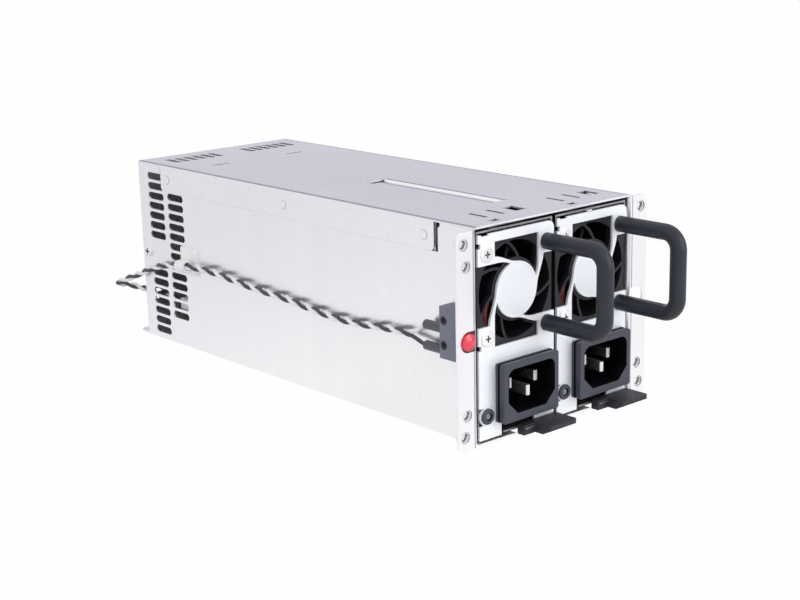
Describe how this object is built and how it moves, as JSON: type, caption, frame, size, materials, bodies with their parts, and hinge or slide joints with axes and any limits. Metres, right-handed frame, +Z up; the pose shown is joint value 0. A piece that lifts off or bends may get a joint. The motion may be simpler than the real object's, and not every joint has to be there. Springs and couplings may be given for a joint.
{
  "type": "computer power supply unit",
  "caption": "Redundant computer power supply: sheet-metal cage with pull-out modules, each with a swirl fan grille, handle, mains inlet and latch, plus an alarm reset switch.",
  "frame": {"origin": "middle of the cage's underside", "axes": "+X across to the right as seen from the front, +Y from the front to the rear, +Z up"},
  "size_m": [0.1054, 0.2767, 0.084],
  "materials": {
    "side_steel": "zinc-plated sheet, satin",
    "cover_steel": "zinc-plated sheet, satin",
    "front_steel": "nickel-plated sheet, satin",
    "rivet_steel": "plain",
    "screw_steel": "nickel-plated",
    "spring_steel": "rolled spring strip",
    "pin_steel": "nickel-plated",
    "brass_metal": "tin-flashed",
    "sink_aluminium": "extruded",
    "handle_metal": "semi-gloss black",
    "core_metal": "varnished ferrite and tape",
    "fan_plastic": "moulded",
    "dark_plastic": "moulded",
    "inlet_plastic": "moulded",
    "tab_plastic": "moulded, fine grain",
    "switch_plastic": "moulded",
    "button_plastic": "polished",
    "lamp_glass": "water-clear, diffusing",
    "white_plastic": "moulded",
    "sleeve_plastic": "soft",
    "wire_black": "insulation",
    "wire_white": "insulation",
    "wire_red": "insulation",
    "black_rubber": "moulded",
    "circuit_board": "solder mask",
    "capacitor_sleeve": "heat-shrunk sleeve"
  },
  "bodies": {
    "cage": {"cage_tray": "side_steel", "cage_cover": "cover_steel", "cover_rivets": "rivet_steel", "rear_panel": "side_steel", "cable_grommet": "black_rubber", "panel_screws": "screw_steel", "backplane_board": "circuit_board", "backplane_sockets": "dark_plastic", "backplane_capacitors": "capacitor_sleeve", "output_busbars": "brass_metal", "alarm_switch": "switch_plastic", "switch_screws": "switch_plastic", "switch_terminals": "brass_metal", "terminal_sleeves": "sleeve_plastic", "alarm_lead": "wire_black", "lead_tail_black": "wire_black", "lead_tail_white": "wire_white", "wire_clip": "white_plastic", "lead_plug": "white_plastic"},
    "reset_button": {"reset_button": "button_plastic"},
    "left_module": {"left_module_case": "side_steel", "left_module_lid": "side_steel", "left_module_front_panel": "front_steel", "left_module_fan_frame": "fan_plastic", "left_module_fan_screws": "screw_steel", "left_module_fan_lead": "wire_red", "left_module_handle": "handle_metal", "left_module_inlet": "inlet_plastic", "left_module_inlet_pins": "pin_steel", "left_module_lamp_collar": "inlet_plastic", "left_module_lamp_lens": "lamp_glass", "left_module_main_board": "circuit_board", "left_module_transformer": "core_metal", "left_module_bulk_capacitor": "capacitor_sleeve", "left_module_output_capacitors": "capacitor_sleeve", "left_module_heat_sinks": "sink_aluminium"},
    "left_fan": {"left_module_fan_rotor": "fan_plastic"},
    "left_latch": {"left_module_latch_leaf": "spring_steel", "left_module_latch_tab": "tab_plastic"},
    "right_module": {"right_module_case": "side_steel", "right_module_lid": "side_steel", "right_module_front_panel": "front_steel", "right_module_fan_frame": "fan_plastic", "right_module_fan_screws": "screw_steel", "right_module_fan_lead": "wire_red", "right_module_handle": "handle_metal", "right_module_inlet": "inlet_plastic", "right_module_inlet_pins": "pin_steel", "right_module_lamp_collar": "inlet_plastic", "right_module_lamp_lens": "lamp_glass", "right_module_main_board": "circuit_board", "right_module_transformer": "core_metal", "right_module_bulk_capacitor": "capacitor_sleeve", "right_module_output_capacitors": "capacitor_sleeve", "right_module_heat_sinks": "sink_aluminium"},
    "right_fan": {"right_module_fan_rotor": "fan_plastic"},
    "right_latch": {"right_module_latch_leaf": "spring_steel", "right_module_latch_tab": "tab_plastic"}
  },
  "joints": [
    {"name": "left_module_pull_out", "type": "slide", "parent": "cage", "child": "left_module", "axis": [0, -1, 0], "range_m": [0, 0.18]},
    {"name": "left_fan_spin", "type": "hinge", "parent": "left_module", "child": "left_fan", "pos_m": [-0.0211, -0.095, 0.057], "axis": [0, -1, 0], "continuous": true},
    {"name": "left_latch_press", "type": "hinge", "parent": "left_module", "child": "left_latch", "pos_m": [-0.0211, -0.0846, 0.0029], "axis": [-1, 0, 0], "range_deg": [0, 3.5], "stiffness_Nm_per_rad": 3},
    {"name": "right_module_pull_out", "type": "slide", "parent": "cage", "child": "right_module", "axis": [0, -1, 0], "range_m": [0, 0.18]},
    {"name": "right_fan_spin", "type": "hinge", "parent": "right_module", "child": "right_fan", "pos_m": [0.0211, -0.095, 0.057], "axis": [0, -1, 0], "continuous": true},
    {"name": "right_latch_press", "type": "hinge", "parent": "right_module", "child": "right_latch", "pos_m": [0.0211, -0.0846, 0.0029], "axis": [-1, 0, 0], "range_deg": [0, 3.5], "stiffness_Nm_per_rad": 3},
    {"name": "reset_button_press", "type": "slide", "parent": "cage", "child": "reset_button", "axis": [0, 1, 0], "range_m": [0, 0.001], "stiffness_N_per_m": 1000}
  ]
}
